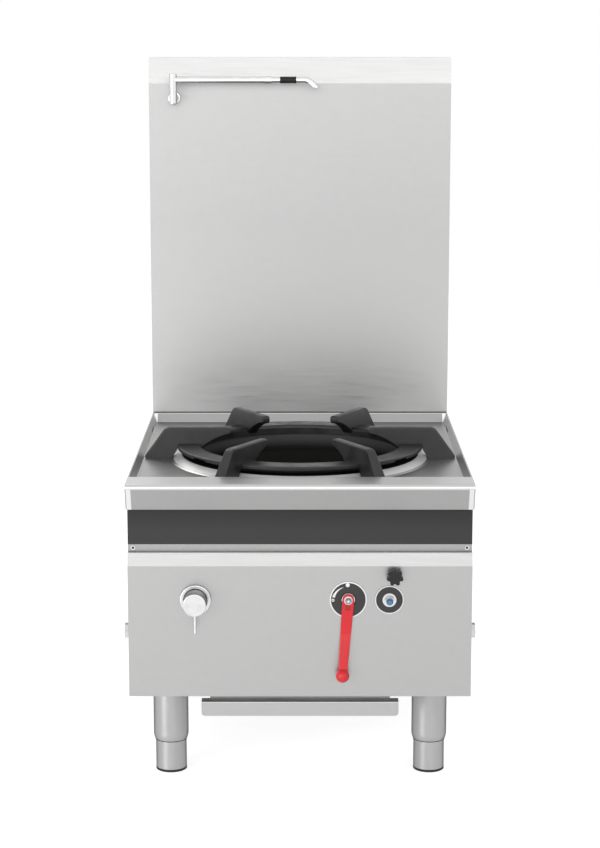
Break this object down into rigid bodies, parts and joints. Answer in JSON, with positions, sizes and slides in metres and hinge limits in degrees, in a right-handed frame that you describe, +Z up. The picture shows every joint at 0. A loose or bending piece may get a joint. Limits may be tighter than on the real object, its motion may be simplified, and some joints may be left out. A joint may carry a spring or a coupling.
{
  "type": "stockpot range",
  "caption": "Free-standing stockpot range: cast pot support over a round burner, raised splashback with swing spout, lever gas valve, drip tray and adjustable legs.",
  "frame": {"origin": "on the floor, under the middle of the bounding box", "axes": "+X to the viewer's right, +Y from the controls to the back, +Z up"},
  "size_m": [0.622, 0.826, 1.2705],
  "materials": {
    "stainless": "satin brushed stainless steel",
    "stainless_side": "satin brushed stainless steel",
    "stainless_trim": "bright brushed stainless steel",
    "inner_steel": "plain galvanised sheet",
    "fascia_black": "dark satin paint",
    "cast_iron": "black cast iron, matt",
    "burner_iron": "bare cast iron",
    "chrome": "polished chrome",
    "brass": "machined brass",
    "copper": "drawn copper tube",
    "pipe_steel": "grey steel pipe",
    "bright_steel": "zinc plated steel",
    "red_paint": "red coating, satin",
    "bezel_black": "black anodised disc with plain white marks",
    "blue_plastic": "blue push button",
    "black_plastic": "black moulded knob",
    "rubber": "black rubber pad"
  },
  "bodies": {
    "cabinet": {"hob_top": "stainless", "splash_front": "stainless", "splash_rear": "inner_steel", "side_panel_left": "stainless_side", "side_panel_right": "stainless_side", "side_bolts": "bright_steel", "rear_panel": "inner_steel", "base_plate": "inner_steel", "fascia": "fascia_black", "front_rail": "stainless_trim", "front_panel": "stainless", "cover_screws": "bright_steel", "tray_runners": "inner_steel", "burner_body": "burner_iron", "mixing_tube": "burner_iron", "burner_chamber": "stainless_side", "burner_bracket": "inner_steel", "gas_valve_body": "brass", "gas_feed_pipe": "pipe_steel", "injector": "brass", "gas_manifold": "pipe_steel", "gas_bezel": "bezel_black", "pilot_bezel": "bezel_black", "pilot_sleeve": "chrome", "pilot_valve": "brass", "pilot_burner": "bright_steel", "thermocouple": "copper", "pilot_tube": "copper", "tap_body": "brass", "tap_backplate": "chrome", "water_inlet": "copper", "water_riser": "copper", "spout_rosette": "chrome", "spout_locknut": "brass", "leg_sleeve_front_left": "stainless_side", "leg_sleeve_front_right": "stainless_side", "leg_sleeve_rear_left": "stainless_side", "leg_sleeve_rear_right": "stainless_side"},
    "pot_support": {"pot_support": "cast_iron"},
    "burner_cap": {"burner_cap": "burner_iron"},
    "drip_tray": {"drip_tray": "stainless"},
    "gas_lever": {"gas_valve_stem": "bright_steel", "gas_lever": "red_paint", "lever_nut": "bright_steel"},
    "pilot_button": {"pilot_button": "blue_plastic"},
    "pilot_knob": {"knob_spindle": "bright_steel", "pilot_knob": "black_plastic"},
    "tap_lever": {"tap_cap": "chrome", "tap_lever": "chrome"},
    "spout": {"spout_arm": "chrome", "spout_nozzle": "chrome", "spout_grip": "black_plastic"},
    "foot_front_left": {"foot_tube_front_left": "stainless_trim", "foot_pad_front_left": "rubber"},
    "foot_front_right": {"foot_tube_front_right": "stainless_trim", "foot_pad_front_right": "rubber"},
    "foot_rear_left": {"foot_tube_rear_left": "stainless_trim", "foot_pad_rear_left": "rubber"},
    "foot_rear_right": {"foot_tube_rear_right": "stainless_trim", "foot_pad_rear_right": "rubber"}
  },
  "joints": [
    {"name": "gas_lever_turn", "type": "hinge", "parent": "cabinet", "child": "gas_lever", "pos_m": [0.0836, -0.375, 0.351], "axis": [0, 1, 0], "range_deg": [0, 85]},
    {"name": "tap_turn", "type": "hinge", "parent": "cabinet", "child": "tap_lever", "pos_m": [-0.181, -0.373, 0.351], "axis": [0, -1, 0], "range_deg": [0, 90]},
    {"name": "pilot_button_push", "type": "slide", "parent": "cabinet", "child": "pilot_button", "axis": [0, 1, 0], "range_m": [0, 0.005], "stiffness_N_per_m": 1500, "springref_m": -0.003},
    {"name": "pilot_knob_turn", "type": "hinge", "parent": "cabinet", "child": "pilot_knob", "pos_m": [0.1632, -0.373, 0.396], "axis": [0, -1, 0], "range_deg": [0, 270]},
    {"name": "spout_swing", "type": "hinge", "parent": "cabinet", "child": "spout", "pos_m": [-0.2495, 0.285, 1.205], "axis": [0, 0, 1], "range_deg": [-170, 0]},
    {"name": "tray_slide", "type": "slide", "parent": "cabinet", "child": "drip_tray", "axis": [0, -1, 0], "range_m": [0, 0.4]},
    {"name": "pot_support_lift", "type": "slide", "parent": "cabinet", "child": "pot_support", "axis": [0, 0, 1], "range_m": [0, 0.2]},
    {"name": "burner_cap_lift", "type": "slide", "parent": "cabinet", "child": "burner_cap", "axis": [0, 0, 1], "range_m": [0, 0.2]},
    {"name": "foot_front_left_screw", "type": "slide", "parent": "cabinet", "child": "foot_front_left", "axis": [0, 0, -1], "range_m": [0, 0.03]},
    {"name": "foot_front_right_screw", "type": "slide", "parent": "cabinet", "child": "foot_front_right", "axis": [0, 0, -1], "range_m": [0, 0.03]},
    {"name": "foot_rear_left_screw", "type": "slide", "parent": "cabinet", "child": "foot_rear_left", "axis": [0, 0, -1], "range_m": [0, 0.03]},
    {"name": "foot_rear_right_screw", "type": "slide", "parent": "cabinet", "child": "foot_rear_right", "axis": [0, 0, -1], "range_m": [0, 0.03]}
  ]
}
